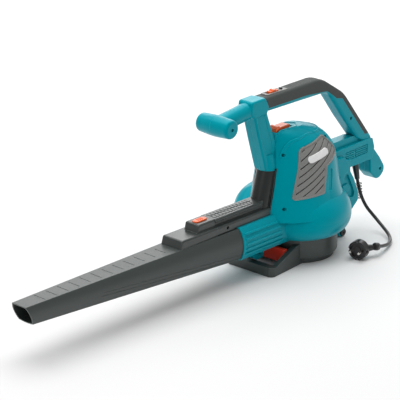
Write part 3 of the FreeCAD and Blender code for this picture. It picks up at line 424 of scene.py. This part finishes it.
# %% [markdown]
# ## Mains cord
# The cord is a fixed length of flexible tube. It drops out of its rubber sleeve under the carrier,
# reaches the floor beside the tool, and curves round to the plug. A NURBS spline that a few control
# points pull into shape bends as evenly as a real sheath does, where a chain of short straight pieces
# kinks.

# %% The cord's spline
CORD_D = 0.007
CORD_ROUTE = [(0.174, -0.007, 0.108), (0.176, -0.015, 0.064), (0.192, -0.050, 0.022), (0.172, -0.101, 0.005),
              (0.126, -0.128, 0.007), (0.084, -0.1345, 0.0195)]


def lay_cord(name, route, thickness):
    """A round tube along a smooth spline."""
    data = bpy.data.curves.new(name, "CURVE")
    data.dimensions = "3D"
    data.bevel_depth = thickness / 2.0
    data.bevel_resolution = 6
    data.resolution_u = 16
    spline = data.splines.new("NURBS")
    spline.points.add(len(route) - 1)
    for point, place in zip(spline.points, route):
        point.co = (*place, 1.0)
    spline.order_u = 3
    spline.use_endpoint_u = True
    cord = bpy.data.objects.new(name, data)
    bpy.context.collection.objects.link(cord)
    return cord


mains_cord = lay_cord("mains_cord", CORD_ROUTE, CORD_D)
mains_cord.data.materials.append(cord_black)
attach(mains_cord, "housing")
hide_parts("power_cord")
print("cord laid through", len(CORD_ROUTE), "points")

# %% [markdown]
# ## Outline of the fan scroll
# A fan casing grows as it goes round, so that the air keeps its speed. This one is drawn the way a
# pattern maker does it, with four quarter arcs: each is one step larger than the last, and its centre
# moves by the same step, so the arcs meet without a kink.

# %% Points on the spiral
SCROLL_R = 0.102
SCROLL_STEP = 0.008
ARC_CENTRES = [(0.0, 0.0), (0.0, SCROLL_STEP), (-SCROLL_STEP, SCROLL_STEP), (-SCROLL_STEP, 0.0)]


def scroll_point(turn, inset, height):
    """A point on the spiral; turn counts degrees from the tongue beside the duct."""
    quarter = min(3, int(turn // 90.0))
    centre = ARC_CENTRES[quarter]
    radius = SCROLL_R + SCROLL_STEP * quarter - inset
    angle = math.radians(180.0 + turn)
    return Vector((centre[0] + radius * math.cos(angle), centre[1] + radius * math.sin(angle), height))


print("the scroll grows from", SCROLL_R, "to", SCROLL_R + 3 * SCROLL_STEP, "m")

# %% [markdown]
# ## Profile of the shoulder
# On the real casing the spiral does not stop at a flat lid: its upper side swells in a quarter ellipse
# until it meets the motor cover. It could be sculpted, but a short formula is exact. The same formula
# also gives a low profile that stays under the lid, and the swell blends between the two, because the
# shoulder fades away near the air duct.

# %% Profile of the shoulder
SHOULDER_LOW = 0.086
SHOULDER_RISE = 0.0515
SHOULDER_REACH = 0.052
LID_HEIGHT = 0.1134
UNDER_LID = 0.004
FOOT_DROP = 0.006
FOOT_INSET = 0.0012
FADED_FOOT_INSET = 0.002
FADED_INSET = 0.004
CLIMB_STEPS = 16


def shoulder_profile(swell):
    """Inset and height up the ellipse; swell is 0 where the shoulder has faded under the lid."""
    yield FOOT_INSET + FADED_FOOT_INSET * (1.0 - swell), SHOULDER_LOW - FOOT_DROP
    for step in range(CLIMB_STEPS + 1):
        climb = math.radians(90.0 * step / CLIMB_STEPS)
        inset = SHOULDER_REACH * (1.0 - math.cos(climb))
        full = SHOULDER_LOW + SHOULDER_RISE * math.sin(climb)
        low = SHOULDER_LOW + (LID_HEIGHT - UNDER_LID - SHOULDER_LOW) * math.sin(climb)
        yield inset + FADED_INSET * (1.0 - swell), low + (full - low) * swell


print("the shoulder stands", round(SHOULDER_LOW + SHOULDER_RISE - LID_HEIGHT, 4), "m above the lid")

# %% [markdown]
# ## Shoulder mouldings
# Each half is a grid of points: one direction follows the spiral, the other climbs the profile. A
# Solidify modifier then gives the skin its thickness, which is simpler than building both sides.

# %% Shoulder mouldings
SKIN = 0.0016
SHOULDER_COLUMNS = 90
SWELL_STARTS, SWELL_FULL = 14.0, 31.0
FADE_STARTS, FADE_ENDS = 300.0, 332.0
SHOULDER_SPANS = {"left": (15.0, 179.8), "right": (180.2, 331.0)}


def smooth_share(value, start, end):
    """Eases from 0 at the start to 1 at the end."""
    share = min(1.0, max(0.0, (value - start) / (end - start)))
    return share * share * (3.0 - 2.0 * share)


def keep(name, form, material, body):
    """Turns a finished form into a smooth piece that rides on a body."""
    mesh = bpy.data.meshes.new(name)
    bmesh.ops.recalc_face_normals(form, faces=form.faces)
    form.to_mesh(mesh)
    form.free()
    mesh.shade_smooth()
    mesh.materials.append(material)
    piece = bpy.data.objects.new(name, mesh)
    bpy.context.collection.objects.link(piece)
    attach(piece, body)
    print(name, len(mesh.vertices), "points")
    return piece


def shoulder(name, first, last):
    """One half of the swelling, from one turn of the spiral to another."""
    form = bmesh.new()
    columns = []
    for index in range(SHOULDER_COLUMNS + 1):
        turn = first + (last - first) * index / SHOULDER_COLUMNS
        faded = smooth_share(turn, FADE_STARTS, FADE_ENDS)
        swell = smooth_share(turn, SWELL_STARTS, SWELL_FULL) * (1.0 - faded)
        columns.append([form.verts.new(scroll_point(turn, *step)) for step in shoulder_profile(swell)])
    for near, far in zip(columns, columns[1:]):
        for row in range(len(near) - 1):
            form.faces.new((near[row], far[row], far[row + 1], near[row + 1]))
    piece = keep(name, form, teal, "housing")
    skin = piece.modifiers.new("skin", "SOLIDIFY")
    skin.thickness = SKIN
    skin.offset = -1.0
    return piece


for side, (first, last) in SHOULDER_SPANS.items():
    shoulder("scroll_shoulder_" + side, first, last)

# %% [markdown]
# ## Ribs on the release button
# A glove needs something to push against, so the orange release button carries three low ribs. They
# are small enough to build point by point: a rib is a bar with a half round top, whose ends are pulled
# in where it is highest. Their place comes from the button's own box, so they move with the CAD.

# %% Ribs on the release button
RIB_PITCH = 0.0055
RIB_HALF_WIDTH = 0.0010
RIB_HALF_LENGTH = 0.0042
RIB_SUNK = 0.0002
RIB_PROUD = 0.0009
RIB_PULL = 0.0006
RIB_STEPS = 6


def rib(form, middle, low, high):
    """A low bar across the button, rounded by the steps of a half circle."""
    rows = []
    for step in range(RIB_STEPS + 1):
        lean = math.radians(180.0 * step / RIB_STEPS)
        x = middle.x - RIB_HALF_WIDTH * math.cos(lean)
        z = low + (high - low) * math.sin(lean)
        reach = RIB_HALF_LENGTH - RIB_PULL * math.sin(lean)
        rows.append([form.verts.new((x, middle.y + side * reach, z)) for side in (-1, 1)])
    for near, far in zip(rows, rows[1:]):
        form.faces.new((near[0], far[0], far[1], near[1]))
    form.faces.new((rows[0][0], rows[0][1], rows[-1][1], rows[-1][0]))
    for side in (0, 1):
        form.faces.new([row[side] for row in rows])


button_low, button_high = (Vector(corner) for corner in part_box("release_button"))
button_middle = (button_low + button_high) / 2.0
form = bmesh.new()
for place in (-1, 0, 1):
    spot = button_middle + Vector((RIB_PITCH * place, 0.0, 0.0))
    rib(form, spot, button_high.z - RIB_SUNK, button_high.z + RIB_PROUD)
keep("button_ribs", form, signal_orange, "tube_button")

# %% [markdown]
# ## Wire made of small circles
# A spring and a ring are both a wire that is bent round. A curve with a round bevel would give the same
# form, but a mesh can be flattened later. So each step along the wire gets a small circle of points,
# and faces join each circle to the next.

# %% Wire made of small circles
WIRE_CORNERS = 8


def wire_loop(form, middle, out, rise, radius):
    """A small circle of points round the wire's middle, in the plane of two directions."""
    loop = []
    for corner in range(WIRE_CORNERS):
        roll = 2.0 * math.pi * corner / WIRE_CORNERS
        loop.append(form.verts.new(middle + radius * (out * math.cos(roll) + rise * math.sin(roll))))
    return loop


def wire_skin(form, loops):
    """The faces between each circle and the next."""
    for near, far in zip(loops, loops[1:]):
        for corner in range(WIRE_CORNERS):
            after = (corner + 1) % WIRE_CORNERS
            form.faces.new((near[corner], near[after], far[after], far[corner]))


print("a wire has", WIRE_CORNERS, "corners")

# %% [markdown]
# ## Spring under the release button
# The small coil under the button shortens when the button is pressed, and a rigid copy would poke
# through the button. The coil is built again here as a mesh of its own, sized from the box of the CAD
# spring, which is hidden.

# %% Release spring
SPRING_WIRE = 0.00045
SPRING_TURNS = 4
STEPS_PER_TURN = 28
UP = Vector((0.0, 0.0, 1.0))

spring_low, spring_high = (Vector(corner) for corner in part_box("button_spring"))
spring_seat = (spring_low + spring_high) / 2.0
spring_seat.z = spring_low.z
spring_height = spring_high.z - spring_low.z
coil_radius = (spring_high.x - spring_low.x) / 2.0 - SPRING_WIRE
form = bmesh.new()
loops = []
steps = SPRING_TURNS * STEPS_PER_TURN
for step in range(steps + 1):
    turn = 2.0 * math.pi * SPRING_TURNS * step / steps
    out = Vector((math.cos(turn), math.sin(turn), 0.0))
    lift = SPRING_WIRE + (spring_height - 2.0 * SPRING_WIRE) * step / steps
    loops.append(wire_loop(form, spring_seat + out * coil_radius + UP * lift, out, UP, SPRING_WIRE))
wire_skin(form, loops)
form.faces.new(loops[0])
form.faces.new(loops[-1])
release_spring = keep("release_spring", form, steel, "nozzle")
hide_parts("button_spring")
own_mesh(release_spring)

# %% [markdown]
# ## Bending rings of the cord
# Rings moulded round the start of a cord let it bend there without a kink. A torus could be added and
# turned, but a circle of small circles takes the cord's first direction as it is. The rings narrow at
# the same rate as the sleeve does. They stand past the sleeve's tip, round the first stretch of the
# thinner cord: the first three stand clear of it, and it bends through the other three. On a real
# sleeve they sit one sleeve length further up.

# %% Bending rings
SLEEVE_R = 0.008
SLEEVE_TIP_R = 0.005
SLEEVE_LONG = 0.042
RING_COUNT = 6
RING_WIRE = 0.0009
RING_STEPS = 32
FIRST_RING = 0.25
RING_SPREAD = 0.7


def bending_ring(form, middle, axis, radius):
    """A ring of wire round an axis."""
    side = axis.orthogonal().normalized()
    other = axis.cross(side)
    loops = []
    for step in range(RING_STEPS):
        turn = 2.0 * math.pi * step / RING_STEPS
        out = side * math.cos(turn) + other * math.sin(turn)
        loops.append(wire_loop(form, middle + out * radius, out, axis, RING_WIRE))
    wire_skin(form, loops + [loops[0]])


sleeve_tip = Vector(CORD_ROUTE[0])
cord_heading = (Vector(CORD_ROUTE[1]) - sleeve_tip).normalized()
form = bmesh.new()
for index in range(RING_COUNT):
    share = FIRST_RING + RING_SPREAD * index / (RING_COUNT - 1)
    radius = SLEEVE_R + (SLEEVE_TIP_R - SLEEVE_R) * share
    bending_ring(form, sleeve_tip + cord_heading * (SLEEVE_LONG * share), cord_heading, radius)
keep("sleeve_rings", form, cord_black, "housing")
